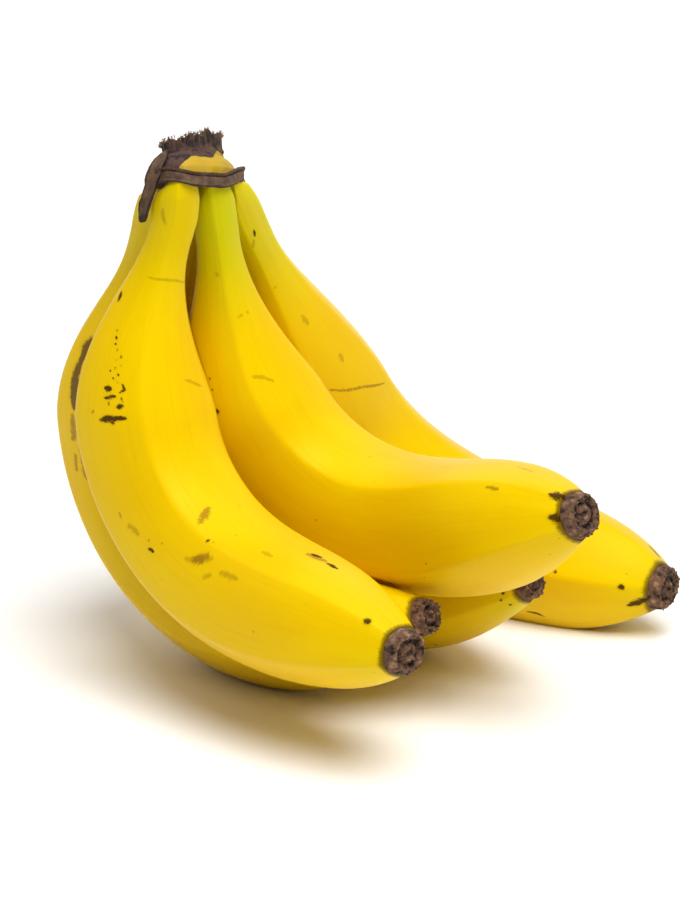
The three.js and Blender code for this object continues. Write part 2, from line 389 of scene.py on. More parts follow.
# bananas: millimetres and degrees
peel = {
    "neckRatio": 0.31,
    "neckEnd": 0.107,
    "taperStart": 0.563,
    "gatherEnd": 0.3,
    "shoulderRound": 5.5,
    "ridgeRound": 3,  # degrees
    "facetFlat": 0.46,
    "lumpHeight": 0.45,
    "creaseHeight": 0.2,
    "pressGap": 0.5,
    "neckExtra": 7,  # the necks run on above their roots until the cut
    "neckExtraEnd": 0.05,
    "neckSunk": 1.3,  # how far the necks run up into the crown
    "sunkInset": 0.3,
    "shiftReach": 11,  # below the crown
    "rings": 380,
    "sides": 216,
    "crowding": 0.35,
    "yellow": paint(229, 190, 0),
    "deepYellow": paint(223, 175, 0),
    "green": paint(190, 196, 0),
    "olive": paint(120, 88, 4),
    "tan": paint(132, 82, 14),
    "bruise": paint(78, 44, 24),
    "scar": paint(56, 24, 2),
    "gloss": (1.0, 0.95, 0.15, 1.0),  # the wax shines yellowish
    "shine": 0.24,
    "roughness": 0.42,
}

# each mark: its width, then its stops, as a share of the length and degrees round the fruit
bananaList = [
    {
        "name": "front",
        "root": (-48.6, -14.1, 148), "heading": -43, "lean": 0, "pitch": 20.5,
        "bend": 112.5, "bendStart": 0.12, "bendEnd": 0.855, "sway": 5, "gather": 6,
        "length": 192, "girth": 37.4, "taper": 4, "shoulder": 0.4,
        "ridgeTurn": -7, "ridgeTwist": 15, "unripe": 0.3, "tipGreen": 0.15,
        "tipRatio": 0.345, "inset": 0.42, "neckShift": (-1.8, 0, 0),
        "marks": {
            "scar": [
                (0.9, (0.212, 70), (0.2, 67)), (0.8, (0.255, 94), (0.258, 96)), (0.7, (0.265, 97)),
                (0.6, (0.247, 92)), (0.7, (0.272, 102)), (0.8, (0.279, 109)), (0.6, (0.285, 104)),
                (0.6, (0.291, 111)), (0.7, (0.297, 105)), (0.6, (0.302, 100)), (0.7, (0.305, 110)),
                (0.6, (0.31, 104), (0.313, 106)), (0.6, (0.316, 111)), (0.7, (0.338, 116), (0.343, 118)),
                (1.6, (0.327, 98), (0.327, 104)), (0.8, (0.317, 116), (0.325, 119), (0.331, 114)),
                (1.1, (0.341, 99), (0.337, 110)), (1.5, (0.353, 113), (0.351, 118)), (0.8, (0.349, 104)),
                (1.7, (0.373, 95), (0.371, 103), (0.371, 120)), (1.3, (0.377, 108)), (1.1, (0.662, 140)),
                (1.0, (0.578, 97), (0.588, 99)), (1.5, (0.812, 189), (0.826, 191)),
                (1.3, (0.848, 188), (0.866, 188)), (1.7, (0.97, 144)),
            ],
            "tan": [
                (0.8, (0.365, 84), (0.359, 87)), (2.6, (0.619, 146), (0.609, 152), (0.597, 160)),
                (0.8, (0.571, 102)), (0.8, (0.505, 88), (0.515, 88)), (0.7, (0.533, 90)),
                (2.6, (0.659, 121), (0.679, 131)), (0.7, (0.621, 86)), (2.4, (0.81, 186), (0.84, 189)),
            ],
            "olive": [
                (1.2, (0.052, 96), (0.062, 98), (0.072, 108)),
                (0.8, (0.16, 108), (0.156, 136), (0.158, 174), (0.166, 215)),
                (0.9, (0.315, 180), (0.321, 188), (0.335, 200)), (1.0, (0.673, 142)),
                (2.4, (0.645, 118), (0.67, 124), (0.69, 131)), (1.6, (0.691, 114), (0.703, 120)),
                (1.7, (0.72, 126), (0.755, 128)), (1.8, (0.53, 92), (0.55, 96)),
                (1.4, (0.756, 160), (0.778, 160)),
            ],
        },
    },
    {
        "name": "middle",
        "root": (-43.4, -1.1, 144), "heading": -36, "lean": 17, "pitch": 5.8,
        "bend": 116.5, "bendStart": 0.17, "bendEnd": 0.82, "sway": 4.5, "gather": 0,
        "length": 196, "girth": 37.3, "taper": 4.7, "shoulder": 0.4,
        "ridgeTurn": 2, "ridgeTwist": 40, "unripe": 0.8, "tipGreen": 0.1,
        "tipRatio": 0.345, "inset": 0.3, "neckShift": (0, 0, 0),
        "marks": {
            "olive": [
                (1.3, (0.146, 117)), (1.0, (0.21, 167)), (0.9, (0.21, 147), (0.21, 156)),
                (1.2, (0.299, 144), (0.307, 153), (0.323, 165)), (1.0, (0.906, 203), (0.936, 201)),
            ],
            "scar": [
                (1.6, (0.341, 99)), (0.7, (0.293, 97)), (0.7, (0.309, 99)),
                (2.6, (0.989, 163), (0.997, 168)), (2.4, (0.991, 120), (0.999, 116)),
            ],
            "tan": [(1.0, (0.9, 157), (0.918, 156)), (0.7, (0.774, 78)), (0.7, (0.802, 41))],
        },
    },
    {
        "name": "back",
        "root": (-37.3, 9.9, 137.9), "heading": -25, "lean": 36.2, "pitch": 0,
        "bend": 94, "bendStart": 0.28, "bendEnd": 0.93, "sway": 9.3, "gather": 2,
        "length": 214, "girth": 40.2, "taper": 5.2, "shoulder": 0.42,
        "ridgeTurn": -15, "ridgeTwist": 15, "unripe": 0.55, "tipGreen": 0.15,
        "tipRatio": 0.345, "inset": 0.16, "neckShift": (0.3, 0, 0),
        "marks": {
            "scar": [
                (0.7, (0.066, 145), (0.076, 141)), (1.5, (0.972, 135)), (2.2, (0.98, 101), (0.998, 107)),
                (1.0, (0.886, 139)), (0.8, (0.838, 85), (0.852, 85), (0.862, 82)),
                (1.0, (0.972, 239), (0.99, 239)), (0.8, (0.52, -30)),
            ],
            "olive": [
                (0.8, (0.08, 134), (0.09, 125)), (0.8, (0.166, 132)), (1.6, (0.224, 152), (0.238, 154)),
                (1.6, (0.305, 168), (0.315, 167)),
            ],
            "tan": [
                (0.9, (0.335, 140), (0.353, 154), (0.375, 175), (0.409, 199)),
                (1.2, (0.45, -60), (0.475, -64)),
            ],
        },
    },
    {
        "name": "under_front",
        "root": (-54.5, 2.5, 139.4), "heading": -54.7, "lean": -1.4, "pitch": 27.3,
        "bend": 137, "bendStart": 0.163, "bendEnd": 0.92, "sway": -20, "gather": 0,
        "length": 213, "girth": 36.2, "taper": 3.4, "shoulder": 0.37,
        "ridgeTurn": 0, "ridgeTwist": 15, "unripe": 0.3, "tipGreen": 0.2,
        "tipRatio": 0.29, "inset": 0.06, "neckShift": (-1.0, 0, 0),
        "marks": {
            "bruise": [
                (3.0, (0.244, 92), (0.259, 91), (0.269, 90)),
                (2.4, (0.269, 90), (0.287, 89), (0.303, 91), (0.323, 94), (0.335, 97)),
                (1.3, (0.423, 109), (0.447, 109), (0.487, 107)),
            ],
            "tan": [
                (2.6, (0.349, 94), (0.363, 96), (0.379, 93)),
                (2.4, (0.373, 105), (0.401, 103), (0.433, 100)), (1.4, (0.401, 92), (0.423, 89)),
                (1.6, (0.36, 20), (0.39, 24)),
            ],
            "scar": [(0.9, (0.5, -20))],
        },
    },
    {
        "name": "under_middle",
        "root": (-43.8, 16.2, 136.2), "heading": -47.3, "lean": 12.4, "pitch": 28.2,
        "bend": 135.5, "bendStart": 0.127, "bendEnd": 0.936, "sway": -12.3, "gather": 3,
        "length": 217, "girth": 36, "taper": 3.3, "shoulder": 0.5,
        "ridgeTurn": 0, "ridgeTwist": 15, "unripe": 0.4, "tipGreen": 0.3,
        "tipRatio": 0.28, "inset": 0.35, "neckShift": (0, 0, 0),
        "marks": {
            "scar": [(0.8, (0.985, 94)), (0.7, (0.98, 80)), (0.8, (0.985, 55)), (0.9, (0.852, 30))],
            "tan": [(1.5, (0.33, -10), (0.36, -14))],
            "olive": [(1.2, (0.2, 30), (0.23, 26))],
        },
    },
]


def peelMaterial(look):
    material, board = newMaterial("bananaPeel")
    straight = board.place("straight")
    patches = board.ease(board.noise(straight * (55.0, 55.0, 22.0), 2.0), 0.35, 0.7)
    threads = board.noise(straight * (1100.0, 1100.0, 34.0), 3.0)
    grain = board.noise(straight * 1900.0, 2.0)
    ragged = (board.noise(straight * 800.0, 2.0) - 0.5) * 1.1
    ragged = ragged + (board.noise(straight * 2400.0, 2.0) - 0.5) * 0.8
    colour = board.mix(patches * 0.55, look["yellow"], look["deepYellow"])
    colour = board.mix(board.field("unripe"), colour, look["green"])
    colour = board.tint(board.ease(threads, 0.45, 0.75) * 0.12, colour, paint(225, 190, 90))
    specks = board.add("ShaderNodeTexVoronoi", {}, {"Vector": straight, "Scale": 170.0}, "Distance")
    chance = board.add("ShaderNodeSeparateColor", {}, [specks.other("Color")])
    freckle = (1 - board.ease(specks, 0.035, 0.075)) * chance.math("GREATER_THAN", 0.82)
    olive = board.ease(board.field("olive") + ragged, 0.1, 0.9)
    tan = board.ease(board.field("tan") + ragged, 0.15, 0.8)
    bruiseHalo = board.ease(board.field("bruise"), -0.3, 0.6)
    bruise = board.ease(board.field("bruise") + ragged * 0.8, 0.2, 0.5)
    scarHalo = board.ease(board.field("scar"), -0.1, 0.7)
    scar = board.ease(board.field("scar") + ragged * 0.9, 0.3, 0.62)
    fringe = board.ease(board.field("along") + ragged * 0.004, 0.993, 0.999)
    layers = ((freckle, 0.6, "tan"), (olive, 0.42, "olive"), (tan, 0.7, "tan"),
              (bruiseHalo, 0.35, "tan"), (bruise, 0.85, "bruise"),
              (scarHalo, 0.4, "tan"), (scar, 0.95, "scar"), (fringe, 0.8, "scar"))
    for share, strength, tone in layers:
        colour = board.mix(share * strength, colour, look[tone])
    roughness = look["roughness"] + (grain - 0.5) * 0.12 + scar * 0.25
    relief = threads * 0.5 + grain * 0.3 - scar * 0.6
    coat(board, colour, roughness, relief, 0.00008, 0.7, look["shine"], look["gloss"])
    return material


fruitUnits = {
    **dict.fromkeys(("Length", "Girth"), mm),
    **dict.fromkeys(("Bend", "Sway", "Ridge Turn", "Ridge Twist"), degree),
    **dict.fromkeys(("Bend Start", "Bend End", "Taper", "Tip Ratio", "Shoulder"), 1.0),
}
skinUnits = {"Lump Height": mm, "Crease Height": mm}


def bananaTree(look):
    board, given = geometryBoard("bananaTree", {
        **dict.fromkeys(("Root", "Neck Way", "Inner Way", "Draw"), "Vector"),
        **dict.fromkeys((*fruitUnits, *skinUnits, "Seed"), "Float"),
        "Rings": "Int", "Sides": "Int", "Peel": "Material",
    })
    stations = 200  # along the spine
    meanReach = 1.073  # of five flat sides, as a multiple of the distance to their middles
    step = board.add("GeometryNodeInputIndex") / stations
    turn = given["Bend"] * board.ease(step, given["Bend Start"], given["Bend End"])
    swing = given["Sway"] * step
    down, inner = given["Neck Way"], given["Inner Way"]
    tangent = down * turn.math("COSINE") + inner * turn.math("SINE")
    tangent = tangent * swing.math("COSINE") + down.cross(inner) * swing.math("SINE")
    inner = inner * turn.math("COSINE") - down * turn.math("SINE")
    run = board.add("GeometryNodeAccumulateField", {"data_type": "FLOAT_VECTOR"},
                    {"Value": tangent * (given["Length"] / stations)}, "Trailing")
    drawn = given["Draw"] * (1 - board.ease(step, 0.0, look["gatherEnd"]))
    line = board.add("GeometryNodeMeshLine", {"mode": "OFFSET"}, {"Count": stations + 1, "Offset": (0, 0, 0)})
    spine = board.move(line, {"Position": given["Root"] + run + drawn})

    tube = board.add("GeometryNodeMeshCylinder", {"fill_type": "TRIANGLE_FAN"}, {
        "Vertices": given["Sides"], "Side Segments": given["Rings"], "Fill Segments": 6,
        "Radius": 1.0, "Depth": 1.0})
    corner = board.add("GeometryNodeInputPosition")
    level = corner.part(2) + 0.5
    along = level - (level * (2 * math.pi)).math("SINE") * (look["crowding"] / (2 * math.pi))
    around = (corner.part(1) * -1).math("ARCTAN2", corner.part(0))
    rim = board.length(corner * (1.0, 1.0, 0.0))

    place = along * stations
    first = place.math("FLOOR").math("MINIMUM", stations - 1)

    def atStation(value, index):
        return board.add("GeometryNodeSampleIndex", {"data_type": "FLOAT_VECTOR"},
                         {"Geometry": spine, "Value": value, "Index": index})

    def sample(value):  # on the spine, between the two nearest stations
        low, high = atStation(value, first), atStation(value, first + 1)
        return low + (high - low) * (place - first)

    ahead = sample(tangent)
    extra = look["neckExtra"] * mm * (1 - board.ease(along, 0.0, look["neckExtraEnd"]))
    centre = sample(board.add("GeometryNodeInputPosition")) - ahead * extra
    inward = sample(inner)
    flank = ahead.cross(inward)

    swell = board.ease(along, look["neckEnd"], given["Shoulder"])
    past = ((along - look["taperStart"]) / (1 - look["taperStart"])).math("MAXIMUM", 0.0)
    radius = given["Girth"] * 0.5 * (look["neckRatio"] + (1 - look["neckRatio"]) * swell)
    radius = radius * (1 - (1 - given["Tip Ratio"]) * past ** given["Taper"])
    ridgeAt = given["Ridge Turn"] + given["Ridge Twist"] * (along - 0.5)
    ridge = ((around - ridgeAt) * 5.0).math("COSINE")
    fromRidge = ridge.math("ARCCOSINE") / 5.0
    eased = (fromRidge * fromRidge + math.radians(look["ridgeRound"]) ** 2) ** 0.5
    facet = 1 / (math.pi / 5 - eased).math("COSINE") - meanReach  # flat sides that meet in rounded ridges
    east, north = around.math("COSINE"), around.math("SINE")
    straight = board.vector(
        east * given["Girth"] * 0.5, north * given["Girth"] * 0.5, along * given["Length"])
    shifted = straight + given["Seed"] * (1.0, 0.7, 0.3)
    lumps = (board.noise(shifted * (70.0, 70.0, 26.0), 2.0) - 0.5) * given["Lump Height"]
    neck = 1 - board.ease(along, 0.12, 0.36)
    creases = (board.noise(shifted * (420.0, 420.0, 16.0), 2.0) - 0.5) * given["Crease Height"] * neck
    reach = radius * (1 + facet * look["facetFlat"])
    reach = reach + (lumps + creases) * swell.math("MAXIMUM", 0.5)
    outward = flank * north - inward * east
    fields = {"spine": centre, "radius": radius, "along": along, "straight": straight}
    for name, value in fields.items():  # stored on the straight tube, before its points move
        tube = board.keep(tube, name, value)
    return closeTree(board, board.move(tube, {"Position": centre + outward * (reach * rim)}), given["Peel"])


def pressBack(own, others, gap):  # draws the skin back to the face shared with each neighbour
    batch, halvings = 4000, 14
    ray = own["co"] - own["spine"]
    reach = np.linalg.norm(ray, axis=1)
    ray = ray / np.maximum(reach, 1e-9)[:, None]
    result = reach.copy()

    def clear(rows, length, other):
        places = own["spine"][rows] + ray[rows] * length[:, None]
        share = np.empty(len(rows))
        for start in range(0, len(rows), batch):
            part = places[start:start + batch]
            far = np.linalg.norm(part[:, None, :] - other["line"][None], axis=2)
            share[start:start + batch] = ((far - gap / 2) / other["girths"][None]).min(1)
        return share >= (length + gap / 2) / own["radius"][rows]

    for other in others:
        rows = np.arange(len(reach))
        rows = rows[~clear(rows, reach[rows], other)]
        low, high = np.zeros(len(rows)), reach[rows].copy()
        for _ in range(halvings):
            middle = (low + high) / 2
            free = clear(rows, middle, other)
            low, high = np.where(free, middle, low), np.where(free, high, middle)
        result[rows] = np.minimum(result[rows], low)
    return own["spine"] + ray * result[:, None]


def trimNeck(mesh, look):  # cuts the neck inside the crown and closes it
    shape = bmesh.new()
    shape.from_mesh(mesh)
    cut = Vector(onCrown([(0, 0, look["neckSunk"])])[0])
    everything = shape.verts[:] + shape.edges[:] + shape.faces[:]
    bmesh.ops.bisect_plane(
        shape, geom=everything, plane_co=cut, plane_no=Vector(crownUp), clear_outer=True, dist=1e-6)
    bmesh.ops.remove_doubles(shape, verts=shape.verts, dist=5e-6)
    bmesh.ops.dissolve_degenerate(shape, edges=shape.edges, dist=1e-6)
    openEdges = [edge for edge in shape.edges if edge.is_boundary]
    caps = bmesh.ops.holes_fill(shape, edges=openEdges, sides=0)["faces"]
    bmesh.ops.poke(shape, faces=caps)
    shape.to_mesh(mesh)
    shape.free()


def paintMarks(mesh, banana):
    straight = readField(mesh, "straight", 3)
    along = straight[:, 2] / (banana["length"] * mm)
    around = np.degrees(np.arctan2(straight[:, 1], straight[:, 0]))
    girths = readField(mesh, "radius") / mm
    x = along * banana["length"]
    fields = {kind: np.full(len(along), -1.0) for kind in ("scar", "tan", "olive", "bruise")}
    for kind, width, *path in ((kind, *mark) for kind, marks in banana["marks"].items() for mark in marks):
        start = path[0][1]
        y = np.radians(shorterWay(around, start)) * girths
        local = girths[np.argmin(np.abs(along - path[0][0]))]
        stops = [(at * banana["length"], math.radians(shorterWay(degrees, start)) * local)
                 for at, degrees in path]
        pieces = list(zip(stops, stops[1:] or stops))
        for place, ((ax, ay), (bx, by)) in enumerate(pieces):
            dx, dy = bx - ax, by - ay
            share = np.clip(((x - ax) * dx + (y - ay) * dy) / max(dx * dx + dy * dy, 1e-9), 0, 1)
            far = np.hypot(x - ax - share * dx, y - ay - share * dy)
            thick = 0.9 * width
            if len(stops) > 1:  # long marks run out thin
                thick = thick * (0.62 + 0.42 * np.sin(math.pi * (place + share) / len(pieces)))
            fields[kind] = np.maximum(fields[kind], 1 - far / thick)
    for kind, values in fields.items():
        writeField(mesh, kind, np.clip(values, -1, 1))
    unripe = banana["unripe"] * (1 - smooth(along, 0.06, 0.27))
    unripe = np.maximum(unripe, banana["tipGreen"] * smooth(along, 0.93, 0.985))
    writeField(mesh, "unripe", unripe)


peelFinish = peelMaterial(peel)
fruitTree = bananaTree(peel)
grown = {}
for number, banana in enumerate(bananaList):
    heading, pitch, lean = (math.radians(banana[key]) for key in ("heading", "pitch", "lean"))
    forward = Vector((math.cos(heading), math.sin(heading), 0))
    upright = Vector((0, 0, 1))
    tilt = Matrix.Rotation(lean, 3, forward)
    root = Vector(banana["root"])
    mesh = grow(fruitTree, {
        "Root": root * mm,
        "Neck Way": tilt @ (-upright * math.cos(pitch) - forward * math.sin(pitch)),
        "Inner Way": tilt @ (forward * math.cos(pitch) - upright * math.sin(pitch)),
        "Draw": (crownPlace - root).normalized() * banana["gather"] * mm,
        **inUnits(banana, fruitUnits), **inUnits(peel, skinUnits),
        "Seed": 0.37 * number, "Rings": peel["rings"], "Sides": peel["sides"], "Peel": peelFinish,
    })
    own = {"mesh": mesh, "co": corners(mesh)}
    own["spine"], own["radius"] = readField(mesh, "spine", 3), readField(mesh, "radius")
    where = np.unique(np.round(readField(mesh, "along"), 5), return_index=True)[1]  # one point of each ring
    own["line"], own["girths"] = own["spine"][where][::3], own["radius"][where][::3]
    own["tip"] = Vector(own["spine"][where[-1]])
    own["tipWay"] = (own["tip"] - Vector(own["spine"][where[-5]])).normalized()
    own["tipRadius"] = own["radius"][where[-1]]
    grown[banana["name"]] = own
print("bananas grown:", len(grown))

for banana in bananaList:
    own = grown[banana["name"]]
    others = [other for name, other in grown.items() if name != banana["name"]]
    skin = pressBack(own, others, peel["pressGap"] * mm)
    above = (skin - np.array(crownPlace) * mm) @ crownUp / mm
    below = np.maximum(0, -above)
    inset = banana["inset"] * np.maximum(0, 1 - below / peel["shoulderRound"]) ** 2
    inset = inset + peel["sunkInset"] * np.clip(above / peel["neckSunk"], 0, 1)
    skin = skin - (skin - own["spine"]) * inset[:, None]
    skin = skin + np.array(banana["neckShift"]) * mm * (1 - smooth(below, 0, peel["shiftReach"]))[:, None]
    skin[:, 2] = np.maximum(skin[:, 2], 0)
    moveCorners(own["mesh"], skin)
    trimNeck(own["mesh"], peel)
    paintMarks(own["mesh"], banana)
    dress("peel_" + banana["name"], own["mesh"], peelFinish, "banana_" + banana["name"])
    print("banana", banana["name"], "pressed, trimmed and marked:", len(own["mesh"].polygons), "faces")


def lobeAt(around):  # how far the cushion bulges over each neck
    degrees = np.degrees(around)
    return sum(reach * bump(shorterWay(degrees, at), 0, spread) for at, reach, spread in crown["lobes"])


def ovalPoint(around, share, out, height, bulge=1.0):
    x = np.cos(around) * crown["halfLength"] * share
    y = np.sin(around) * crown["halfWidth"] * share
    nx, ny = np.cos(around) / crown["halfLength"], np.sin(around) / crown["halfWidth"]
    length = np.hypot(nx, ny)
    far = out + lobeAt(around) * bulge
    return np.stack([x + nx / length * far, y + ny / length * far, height + 0 * around], -1)


def loopMesh(name, loops):  # skins a row of closed loops and closes both ends
    rows, sides = loops.shape[:2]
    places = [tuple(place) for loop in loops for place in loop]
    faces = []
    for row in range(rows - 1):
        for side in range(sides):
            following = (side + 1) % sides
            faces.append((row * sides + side, row * sides + following,
                          (row + 1) * sides + following, (row + 1) * sides + side))
    for row, flip in ((0, True), (rows - 1, False)):
        middle = len(places)
        places.append(tuple(loops[row].mean(0)))
        for side in range(sides):
            pair = (row * sides + side, row * sides + (side + 1) % sides)
            faces.append((middle, *(reversed(pair) if flip else pair)))
    mesh = bpy.data.meshes.new(name)
    mesh.from_pydata(places, [], faces)
    shape = bmesh.new()
    shape.from_mesh(mesh)
    if shape.calc_volume(signed=True) < 0:
        bmesh.ops.reverse_faces(shape, faces=shape.faces)
    shape.to_mesh(mesh)
    shape.free()
    return mesh


def join(first, second):  # adds the second mesh to the first
    shape = bmesh.new()
    shape.from_mesh(first)
    shape.from_mesh(second)
    shape.to_mesh(first)
    shape.free()


def endsMean(values):  # the same fields for the two closing points of loopMesh
    flat = values.reshape(-1, *values.shape[2:])
    return np.concatenate([flat, [values[0].mean(0)], [values[-1].mean(0)]])


def crownMaterial(look):
    material, board = newMaterial("crownBark")
    local = board.place("local")
    skin, cut = board.field("skin"), board.field("cut")
    strands = board.noise(local * (1500.0, 1500.0, 170.0), 4.0)
    blotch = board.noise(local * 330.0, 3.0)
    grain = board.noise(local * 2600.0, 3.0)
    bark = board.mix(board.ease(blotch, 0.42, 0.6), look["bark"], look["darkBark"])
    bark = board.mix(board.ease(strands, 0.48, 0.76) * (0.3 + 0.5 * cut), bark, look["straw"])
    bark = board.mix(board.ease(cut + (blotch - 0.5) * 1.5, 1.2, 1.6), bark, look["straw"])
    yellow = board.mix(board.ease(blotch, 0.4, 0.75) * 0.5, look["skin"], paint(188, 146, 24))
    torn = board.ease(skin + (grain - 0.5) * 0.5 + (blotch - 0.5) * 0.5, 0.4, 0.6)
    colour = board.mix(torn, bark, yellow)
    seam = board.ease(skin, 0.25, 0.5) * (1 - board.ease(skin, 0.5, 0.75))
    colour = board.mix(seam * 0.6, colour, look["darkBark"])
    roughness = 0.85 - torn * 0.3 + (grain - 0.5) * 0.1
    coat(board, colour, roughness, strands * 0.7 + grain * 0.4, 0.00025, 0.8)
    return material


def fibreTree():  # torn fibres standing on the points of a base mesh
    board, given = geometryBoard("fibreTree", {
        "Geometry": "Geometry", "Length": "Float", "Thickness": "Float", "Seed": "Int", "Fibre": "Material"})
    strand = board.add("GeometryNodeMeshCone", {"fill_type": "NGON"}, {
        "Vertices": 5, "Side Segments": 4, "Radius Top": 0.25, "Radius Bottom": 1.0, "Depth": 1.0})
    rise = board.add("GeometryNodeInputPosition").part(2)
    bow = board.vector(rise * rise * 2.2, rise * rise * rise * -1.2, 0.0)
    strand = board.move(strand, {"Offset": bow})
    way = board.kept("way", "FLOAT_VECTOR")
    turn = board.add("FunctionNodeAlignRotationToVector", {"axis": "Z"}, {"Vector": way})
    spin = board.vector(0.0, 0.0, board.chance(0.0, 6.28, given["Seed"]))
    spun = board.add("FunctionNodeRotateRotation", {"rotation_space": "LOCAL"}, {0: turn, 1: spin})
    stretch = board.chance(0.35, 1.0, given["Seed"] + 1)
    size = board.vector(given["Thickness"], given["Thickness"], given["Length"] * stretch)
    placed = board.add("GeometryNodeInstanceOnPoints", {}, {
        "Points": given["Geometry"], "Instance": strand, "Rotation": spun, "Scale": size})
    return closeTree(board, placed, given["Fibre"])


def crownMesh(look):
    dome = look["cushionHeight"] + look["cushionDome"]
    top, ratio, dish = look["stubHeight"], look["stubRatio"], look["cutDish"]
    stops = np.array([  # distance from the axis, height, how much of the lobes
        (0.02, 0, 0), (0.5, 0, 0.3), (0.94, 0, 1), (0.99, 0.3, 1), (1, 0.9, 1), (1, 4, 1), (0.96, 5.5, 0.9),
        (0.86, 7.1, 0.6), (0.73, 8.2, 0.25), (0.66, dome + 0.6, 0.1), (ratio, dome + 1.5, 0.02),
        (ratio, 11.2, 0), (ratio * 1.01, top, 0), (ratio * 0.93, top - 0.1, 0),
        (ratio * 0.7, top - dish * 0.7, 0), (ratio * 0.3, top - dish, 0), (0.01, top - dish, 0)])
    meanHalf = (look["halfLength"] + look["halfWidth"]) / 2
    span = np.hypot(np.diff(stops[:, 0]) * meanHalf, np.diff(stops[:, 1]))
    run = np.concatenate([[0], np.cumsum(span)])
    rows = np.linspace(0, run[-1], look["rows"])
    share, height, bulge = (np.interp(rows, run, stops[:, key])[:, None] for key in range(3))
    around = np.linspace(0, 2 * math.pi, look["sides"], endpoint=False)[None, :] + 0 * share
    height = height + 0 * around
    plain = ovalPoint(around, share, 0.0, height, bulge)
    skinTop = np.interp(np.degrees(around), *zip(*look["skinTop"])) + 0.8 * cloud(plain, 3.0, 5.1)
    skin = smooth(skinTop - height, -0.35, 0.35) * smooth(height, 0.5, 1.5)
    onStub = smooth(height, 7.4, 9.4)
    atRim = smooth(share, ratio * 0.5, ratio) * smooth(height, 10.2, top)
    ringX, ringY = look["grooveRing"]
    ring = np.stack([np.cos(around) * ringX, np.sin(around) * ringY, height * 0.18], -1)
    grooves, broad = cloud(ring, 0.55, 2.7), cloud(ring, 2.1, 9.3)
    swell = 0.45 * cloud(plain, 4.0, 1.9) + (1 - skin) * (0.3 + 0.12 * cloud(plain, 0.9, 3.3))
    swell = swell + onStub * (0.28 * grooves + 0.3 * broad)
    swell = swell * smooth(share, 0.3, ratio * 0.9) * smooth(height, 0.0, 0.8)
    places = ovalPoint(around, share, swell, height, bulge)
    right = math.radians(-look["row"])
    stubX, stubY = look["stubReach"]
    slope = places[..., 0] * math.cos(right) / stubX + places[..., 1] * math.sin(right) / stubY
    tuft = look["tuftHeight"] * bump(np.degrees(around), look["tuftAt"], look["tuftSpread"]) * atRim
    rag = atRim * (0.55 * grooves + 0.75 * broad)
    rag = rag + (1 - atRim) * onStub * 0.3 * cloud(plain, 0.8, 6.1)
    places[..., 2] += smooth(height, 9.6, top) * (look["cutSlope"] * slope + rag + tuft)
    places[..., :2] += onStub[..., None] * np.array(look["stubShift"])
    mesh = loopMesh("crown", places)
    local = endsMean(places)
    writeField(mesh, "local", local * mm)
    writeField(mesh, "skin", endsMean(skin))
    writeField(mesh, "cut", endsMean(np.maximum(atRim, (share < ratio * 0.9) * onStub)))
    moveCorners(mesh, onCrown(local))
    return mesh, places, atRim


crownFinish = crownMaterial(crown)
crownShape, crownPlaces, crownRim = crownMesh(crown)
chooser = random.Random(crown["seed"])
rimRows = np.argwhere(crownRim > 0.75)
rootsOfFibres, waysOfFibres = [], []
for _ in range(crown["fibreCount"]):
    row, side = rimRows[chooser.randrange(len(rimRows))]
    place = crownPlaces[row, side]
    out = Vector((place[0] / crown["stubReach"][0], place[1] / crown["stubReach"][1], 0)).normalized()
    stray = Vector((chooser.uniform(-1, 1), chooser.uniform(-1, 1), 0))
    way = Vector((0, 0, 0.8)) + out * chooser.uniform(-0.6, 1.0) + stray
    rootsOfFibres.append(place + np.array(way.normalized()) * 0.4)
    waysOfFibres.append(np.array(crownTurn @ way.normalized()))
fibreBase = bpy.data.meshes.new("fibreRoots")
fibreBase.from_pydata([tuple(place) for place in onCrown(rootsOfFibres)], [], [])
writeField(fibreBase, "way", waysOfFibres)
fibres = grow(fibreTree(), {
    "Length": crown["fibreLength"] * mm, "Thickness": crown["fibreThickness"] * mm, "Seed": crown["seed"],
    "Fibre": crownFinish}, fibreBase)
fibrePlaces = (corners(fibres) / mm - np.array(crownPlace)) @ np.array(crownTurn)
writeField(fibres, "local", fibrePlaces * mm)
writeField(fibres, "skin", np.zeros(len(fibrePlaces)))
writeField(fibres, "cut", np.full(len(fibrePlaces), 1.4))  # past 1, so that all of them are straw
join(crownShape, fibres)
dress("crown_bark", crownShape, crownFinish, "crown")
print("crown made:", len(crownShape.polygons), "faces,", crown["fibreCount"], "fibres")

bract = {
    "start": 177,  # degrees round the cushion
    "sweep": 225,
    "height": 3.8,
    "steps": 420,
    "sag": [(178, 0.2), (195, 0), (205, -0.8), (215, -1.8), (225, -2.4), (257, -2.2), (270, -1.4),
            (285, -0.2), (300, 0.5), (315, 0.1), (340, -0.3), (402, -0.3)],
    "lipAt": 303, "lipSpread": 8, "lipReach": 0.5,
    "standOff": 0.6,
    "tailWidth": 4.2, "tailSteps": 130,
    "tailNarrow": [(0, 0.3), (0.15, 0.5), (0.35, 0.9), (0.55, 1), (0.85, 0.85), (0.97, 0.68), (1, 0.4)],
    "tailRoute": [(182, 0.6, 9.8), (183, 0.72, 8.9), (184, 0.86, 7.4), (182, 0.98, 5.2), (177, 1.04, 2.2),
                  (168, 1.06, -1.5), (159, 1.07, -5), (150, 1.08, -8.5)],
    "hide": paint(72, 50, 34),
    "pale": paint(102, 76, 53),
    # dark tone for the wrinkles, the rims and the ends, and the painted shade along the groove under the
    # upper rim
    "rim": paint(44, 29, 23),
}


